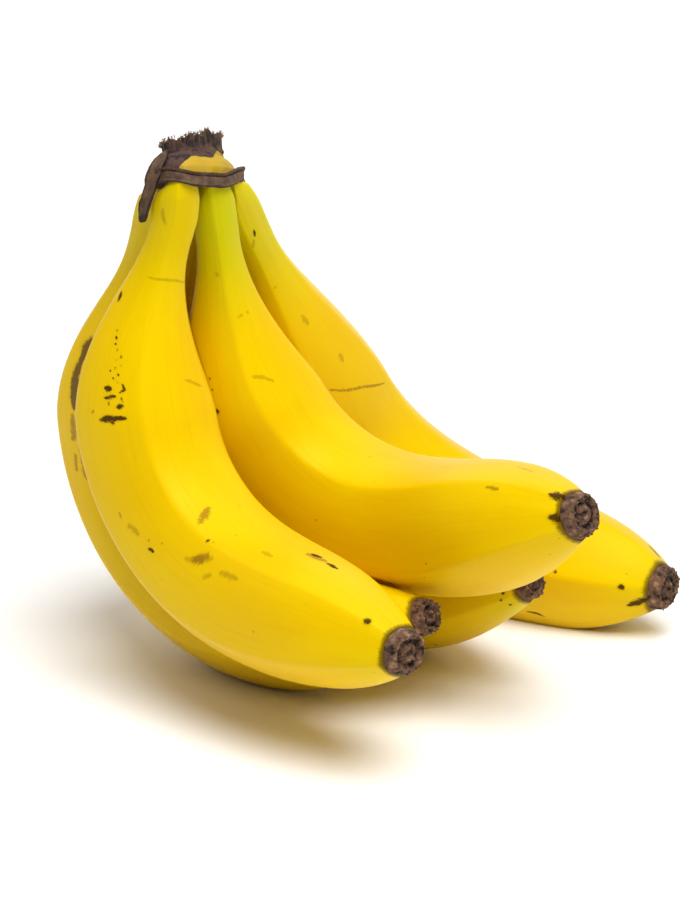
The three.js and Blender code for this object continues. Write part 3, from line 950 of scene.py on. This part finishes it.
def bractMaterial(look):
    material, board = newMaterial("driedBract")
    local = board.place("local")
    edge = board.field("edge")
    wrinkles = board.noise(local * (900.0, 900.0, 260.0), 4.0)
    blotch = board.noise(local * 420.0, 3.0)
    grain = board.noise(local * 3000.0, 2.0)
    colour = board.mix(board.ease(blotch, 0.35, 0.7), look["hide"], look["pale"])
    colour = board.mix(board.ease(wrinkles, 0.52, 0.8) * 0.6, colour, look["rim"])
    # darker along the rims, the ends and the tail's edges; along the groove under the band's upper rim this
    # is painted shade
    dark = board.ease(edge + (wrinkles - 0.5) * 0.9, 0.35, 0.75)
    colour = board.mix(dark * 0.88, colour, look["rim"])
    coat(board, colour, 0.7 + (grain - 0.5) * 0.2, wrinkles * 0.7 + grain * 0.3, 0.0003, 0.8)
    return material


def stripLoop(low, high):  # a strip's cross-section: its outer face, then its inner face back again
    face = np.linspace(low, high, 22)
    back = face[::-3]
    outer = np.concatenate([np.ones(len(face)), np.zeros(len(back))])
    return np.concatenate([face, back])[None, :], outer[None, :]


def bandMesh(look):
    level, outer = stripLoop(0, 1)
    start, finish = look["start"], look["start"] + look["sweep"]
    degrees = start + look["sweep"] * np.linspace(0, 1, look["steps"])[:, None]
    around = np.radians(degrees) + 0 * level
    thick = 0.95 + 0.5 * bump(level, 0.05, 0.1) + 0.55 * bump(level, 0.95, 0.09)
    thick = thick - 0.4 * bump(level, 0.77, 0.07) + 0.3 * np.sin(np.pi * level)
    ring = np.stack([np.cos(around) * crown["halfLength"], np.sin(around) * crown["halfWidth"],
                     level * look["height"] + 0 * around], -1)
    crumple = cloud(ring, 2.4, 4.4) * 0.3 + cloud(ring, 0.8, 8.8) * 0.12
    lip = look["lipReach"] * bump(degrees, look["lipAt"], look["lipSpread"]) * level
    ends = smooth(degrees, start, start + 6) * (1 - smooth(degrees, finish - 14, finish))
    out = look["standOff"] + outer * (thick * (0.35 + 0.65 * ends) + crumple * ends + lip)
    sag = np.interp(degrees, *zip(*look["sag"]))
    wave = 0.25 * cloud(ring * (1, 1, 0), 3.0, 0.4)
    height = 0.3 + level * look["height"] * (0.55 + 0.45 * ends) + sag + wave + lip * 0.4
    mesh = loopMesh("band", ovalPoint(around, 1.0, out, height))
    # darker along the upper rim, and along the groove below it as painted shade in the crease
    upperRimAndCreaseShade = np.maximum(bump(level, 1.0, 0.1) * 0.7, bump(level, 0.77, 0.05))
    edge = np.maximum(bump(level, 0.0, 0.13), upperRimAndCreaseShade) * outer
    writeField(mesh, "edge", endsMean(np.maximum(edge, 1 - ends)))
    return mesh


def routeAt(stops, share):  # a smooth line through the stops
    stops = np.array(stops, float)
    stops = np.vstack([2 * stops[0] - stops[1], stops, 2 * stops[-1] - stops[-2]])
    place = np.clip(share * (len(stops) - 3), 0, len(stops) - 3 - 1e-9)
    first = place.astype(int)
    t = (place - first)[:, None]
    a, b, c, d = (stops[first + offset] for offset in range(4))
    curve = 2 * b + (c - a) * t + (2 * a - 5 * b + 4 * c - d) * t ** 2
    return 0.5 * (curve + (3 * b - a - 3 * c + d) * t ** 3)


def tailMesh(look):
    share = np.linspace(0, 1, look["tailSteps"])
    route = routeAt(look["tailRoute"], share)
    turn, inward, drop = route[:, :1], route[:, 1:2], route[:, 2:]
    across, outer = stripLoop(-1, 1)
    narrow = np.interp(share, *zip(*look["tailNarrow"]))[:, None]
    along = share[:, None] + 0 * across
    sheet = np.stack([across * 3 + 0 * along, along * 22, 0 * along], -1)
    crumple = cloud(sheet, 1.6, 6.6) * 0.25 + cloud(sheet, 0.6, 1.1) * 0.1
    thick = (0.75 + 0.5 * np.abs(across) ** 4 - 0.15 * (1 - across ** 2)) * (0.6 + 0.4 * narrow)
    frayed = 1 + 0.12 * cloud(sheet * (0, 1, 1), 1.3, 2.2)
    sideways = across * look["tailWidth"] / 2 * narrow * frayed / crown["halfWidth"]
    out = 0.35 + outer * (thick + crumple) + 0.5 * across ** 2 * narrow  # its edges curl outwards
    bulge = np.clip(1 - (drop - crown["cushionHeight"]) / crown["cushionDome"], 0, 1) * smooth(drop, -4, 3)
    places = ovalPoint(np.radians(turn) + sideways, inward, out, drop + 0 * across, bulge)
    mesh = loopMesh("tail", places)
    edge = np.maximum(np.abs(across) ** 5, smooth(along, 0.86, 0.97))
    writeField(mesh, "edge", endsMean(edge))
    return mesh


bractFinish = bractMaterial(bract)
bractShape = bandMesh(bract)
join(bractShape, tailMesh(bract))
bractPlaces = corners(bractShape)
writeField(bractShape, "local", bractPlaces * mm)
moveCorners(bractShape, onCrown(bractPlaces))
dress("dried_bract", bractShape, bractFinish, "bract_strip")
print("bract strip made:", len(bractShape.polygons), "faces")

blossom = {
    "length": 4.0,
    "sunk": 0.3,
    "girth": 0.94,
    "dish": 2.2,
    "topRatio": 0.8,
    "lump": 1.7,
    "ragged": 0.22,
    "crumbs": 70,
    "crumbSize": 0.6,
    "cork": paint(104, 75, 56),
    # painted highlight for the raised lumps, and painted shade for the crevices
    "lumpHighlight": paint(152, 117, 88),
    "creviceShade": paint(30, 19, 14),
}


def corkMaterial(look):
    material, board = newMaterial("blossomCork")
    local = board.place("local")
    crumbs = board.noise(local * 1500.0, 4.0)
    blotch = board.noise(local * 520.0, 3.0)
    relief = board.field("crevice") + (crumbs - 0.5) * 0.25 + (blotch - 0.5) * 0.15
    # colour follows the relief: painted shade in the crevices, the cork tone between, painted highlight on
    # the raised lumps
    colour = board.mix(board.ease(relief, 0.36, 0.52), look["creviceShade"], look["cork"])
    colour = board.mix(board.ease(relief, 0.52, 0.66), colour, look["lumpHighlight"])
    coat(board, colour, 0.9, crumbs, 0.0004, 0.9)
    return material


corkUnits = {
    **dict.fromkeys(("Length", "Dish", "Lump", "Crumb Size"), mm),
    **dict.fromkeys(("Top Ratio", "Ragged", "Crumbs"), 1.0),
}


def blossomTree():
    board, given = geometryBoard("blossomTree", {
        **dict.fromkeys(("Radius", *corkUnits), "Float"), "Seed": "Int", "Cork": "Material"})
    plug = board.add("GeometryNodeMeshCylinder", {"fill_type": "TRIANGLE_FAN"}, {
        "Vertices": 110, "Side Segments": 22, "Fill Segments": 30, "Radius": 1.0, "Depth": 1.0})
    corner = board.add("GeometryNodeInputPosition")
    level = corner.part(2) + 0.5
    flat = corner * (1.0, 1.0, 0.0)
    rim = board.length(flat)
    onTop, onSide = level.math("GREATER_THAN", 0.999), rim.math("GREATER_THAN", 0.999)
    shift = board.vector(given["Seed"] * 0.013, 0.0, 0.0)
    wander = board.noise(flat / (rim + 0.0001) * 1.6 + shift * 300.0, 2.0) - 0.5
    width = given["Radius"] * (1 - (1 - given["Top Ratio"]) * level ** 3.0)
    width = width * (1 + wander * given["Ragged"] * level)
    bowl = given["Dish"] * (rim * rim - 1)
    boss = given["Dish"] * 0.8 * board.bell(rim, 0.3, 0.2)
    base = flat * width + board.vector(0.0, 0.0, given["Length"] * level + onTop * (bowl + boss))
    lumps = board.noise((base + shift) * 620.0, 3.0)
    cells = board.add("ShaderNodeTexVoronoi", {}, {"Vector": base + shift, "Scale": 430.0}, "Distance")
    spoke = board.noise((flat * 2.6 + shift * 400.0) / (rim + 0.25), 2.0)  # folds that run in from the rim
    groove = onTop * board.bell(rim, 0.64, 0.12)
    relief = lumps * 0.45 + (1 - cells) * 0.2 + spoke * 0.35 - groove * 0.12
    grip = board.ease(level, 0.02, 0.25)
    outward = flat * onSide + board.vector(0.0, 0.0, onTop)
    moved = base + outward * ((relief - 0.52) * given["Lump"] * grip)
    plug = board.keep(plug, "crevice", relief)
    plug = board.keep(plug, "level", level * (0.4 + 0.6 * rim))
    plug = board.move(plug, {"Position": moved})
    points = board.add("GeometryNodeDistributePointsOnFaces", {}, {
        "Mesh": plug, "Selection": board.kept("level", "FLOAT").math("GREATER_THAN", 0.55),
        "Density": given["Crumbs"] / (given["Radius"] * given["Radius"] * 5.0), "Seed": given["Seed"]})
    crumb = board.add("GeometryNodeMeshIcoSphere", {}, {"Radius": 1.0, "Subdivisions": 2})
    spot = board.add("GeometryNodeInputPosition")
    rough = (board.noise(spot * 1.7, 2.0) - 0.5) * 0.9
    crumb = board.move(crumb, {"Offset": spot * rough})
    turn = board.chance((0, 0, 0), (6.28, 6.28, 6.28), given["Seed"] + 3)
    stretch = board.chance((0.35, 0.35, 0.2), (1, 1, 0.6), given["Seed"] + 5)
    crumbs = board.add("GeometryNodeInstanceOnPoints", {}, {
        "Points": points, "Instance": crumb, "Rotation": turn, "Scale": stretch * given["Crumb Size"]})
    whole = board.add("GeometryNodeJoinGeometry", {}, {"Geometry": [plug, crumbs]})
    return closeTree(board, whole, given["Cork"])


corkFinish = corkMaterial(blossom)
plugTree = blossomTree()
for number, banana in enumerate(bananaList):
    own = grown[banana["name"]]
    mesh = grow(plugTree, {
        "Radius": own["tipRadius"] * blossom["girth"], **inUnits(blossom, corkUnits),
        "Seed": 11 + number, "Cork": corkFinish})
    places = corners(mesh)
    writeField(mesh, "local", places + number * 0.05)
    turn = np.array(own["tipWay"].to_track_quat("Z", "Y").to_matrix())
    start = np.array(own["tip"] - own["tipWay"] * blossom["sunk"] * mm)
    moveCorners(mesh, places @ turn.T + start)
    dress("cork_" + banana["name"], mesh, corkFinish, "blossom_end_" + banana["name"])
    print("blossom end", banana["name"], "made:", len(mesh.polygons), "faces")
